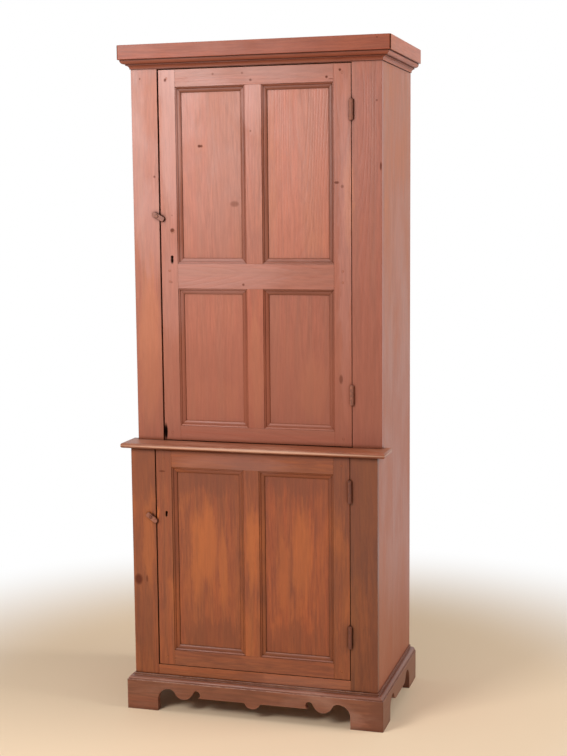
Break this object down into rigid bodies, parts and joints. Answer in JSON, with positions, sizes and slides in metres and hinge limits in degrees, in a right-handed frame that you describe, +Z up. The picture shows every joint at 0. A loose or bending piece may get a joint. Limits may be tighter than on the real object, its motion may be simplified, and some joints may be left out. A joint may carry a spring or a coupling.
{
  "type": "jelly cupboard",
  "caption": "Tall step-back cupboard with a four-panel door over a two-panel door, turn buttons, moulded cornice and scalloped bracket base.",
  "frame": {"origin": "on the floor, at the centre of the overall box's base", "axes": "+X to the right seen from the front, +Y to the back, +Z up; the doors face -Y"},
  "size_m": [0.878, 0.534, 2.134],
  "materials": {
    "faded_red_wash": "worn pinkish red wash on pine, matt",
    "red_brown_wash": "old red-brown wash on pine, satin",
    "bare_pine": "aged bare pine, matt",
    "worn_button_wood": "worn painted wood",
    "old_iron": "dark oxidised iron"
  },
  "bodies": {
    "case": {"back_boards": "bare_pine", "base_board_front": "red_brown_wash", "base_board_left": "red_brown_wash", "base_board_right": "red_brown_wash", "bed_moulding_front": "faded_red_wash", "bed_moulding_left": "faded_red_wash", "bed_moulding_right": "faded_red_wash", "bottom_board": "bare_pine", "cornice_fascia_front": "faded_red_wash", "cornice_fascia_left": "faded_red_wash", "cornice_fascia_right": "faded_red_wash", "deck_board": "bare_pine", "foot_blocks": "bare_pine", "frieze_rail": "faded_red_wash", "hinge_case_leaves": "old_iron", "hinge_pins": "old_iron", "left_side_front_board": "faded_red_wash", "left_side_rear_board": "faded_red_wash", "lower_left_face_stile": "red_brown_wash", "lower_right_face_stile": "red_brown_wash", "lower_shelf": "bare_pine", "right_side_front_board": "faded_red_wash", "right_side_rear_board": "faded_red_wash", "sill_rail": "red_brown_wash", "top_board": "bare_pine", "turn_button_nails": "old_iron", "upper_left_face_stile": "faded_red_wash", "upper_right_face_stile": "faded_red_wash", "upper_shelf_high": "bare_pine", "upper_shelf_low": "bare_pine", "upper_shelf_middle": "bare_pine", "waist_board": "red_brown_wash"},
    "upper_door": {"upper_door_bottom_muntin": "faded_red_wash", "upper_door_bottom_panel_left": "faded_red_wash", "upper_door_bottom_panel_right": "faded_red_wash", "upper_door_bottom_rail": "faded_red_wash", "upper_door_hinge_stile": "faded_red_wash", "upper_door_lock_rail": "faded_red_wash", "upper_door_lock_stile": "faded_red_wash", "upper_door_pegs": "faded_red_wash", "upper_door_top_muntin": "faded_red_wash", "upper_door_top_panel_left": "faded_red_wash", "upper_door_top_panel_right": "faded_red_wash", "upper_door_top_rail": "faded_red_wash", "upper_hinge_door_leaves": "old_iron", "upper_lock_case": "old_iron"},
    "lower_door": {"lower_door_bottom_rail": "red_brown_wash", "lower_door_hinge_stile": "red_brown_wash", "lower_door_lock_stile": "red_brown_wash", "lower_door_muntin": "red_brown_wash", "lower_door_panel_left": "red_brown_wash", "lower_door_panel_right": "red_brown_wash", "lower_door_pegs": "red_brown_wash", "lower_door_top_rail": "red_brown_wash", "lower_hinge_door_leaves": "old_iron", "lower_lock_case": "old_iron"},
    "upper_turn_button": {"upper_turn_button": "worn_button_wood"},
    "lower_turn_button": {"lower_turn_button": "worn_button_wood"},
    "upper_lock_bolt": {"upper_lock_bolt": "old_iron"},
    "lower_lock_bolt": {"lower_lock_bolt": "old_iron"}
  },
  "joints": [
    {"name": "upper_door_hinge", "type": "hinge", "parent": "case", "child": "upper_door", "pos_m": [0.31, -0.181, 1.469], "axis": [0, 0, 1], "range_deg": [0, 170]},
    {"name": "lower_door_hinge", "type": "hinge", "parent": "case", "child": "lower_door", "pos_m": [0.318, -0.247, 0.506], "axis": [0, 0, 1], "range_deg": [0, 170]},
    {"name": "upper_turn_button_pivot", "type": "hinge", "parent": "case", "child": "upper_turn_button", "pos_m": [-0.324, -0.1813, 1.601], "axis": [0, -1, 0], "continuous": true},
    {"name": "lower_turn_button_pivot", "type": "hinge", "parent": "case", "child": "lower_turn_button", "pos_m": [-0.34, -0.2473, 0.64], "axis": [0, -1, 0], "continuous": true},
    {"name": "upper_lock_bolt_slide", "type": "slide", "parent": "upper_door", "child": "upper_lock_bolt", "axis": [-1, 0, 0], "range_m": [0, 0.012]},
    {"name": "lower_lock_bolt_slide", "type": "slide", "parent": "lower_door", "child": "lower_lock_bolt", "axis": [-1, 0, 0], "range_m": [0, 0.012]}
  ]
}
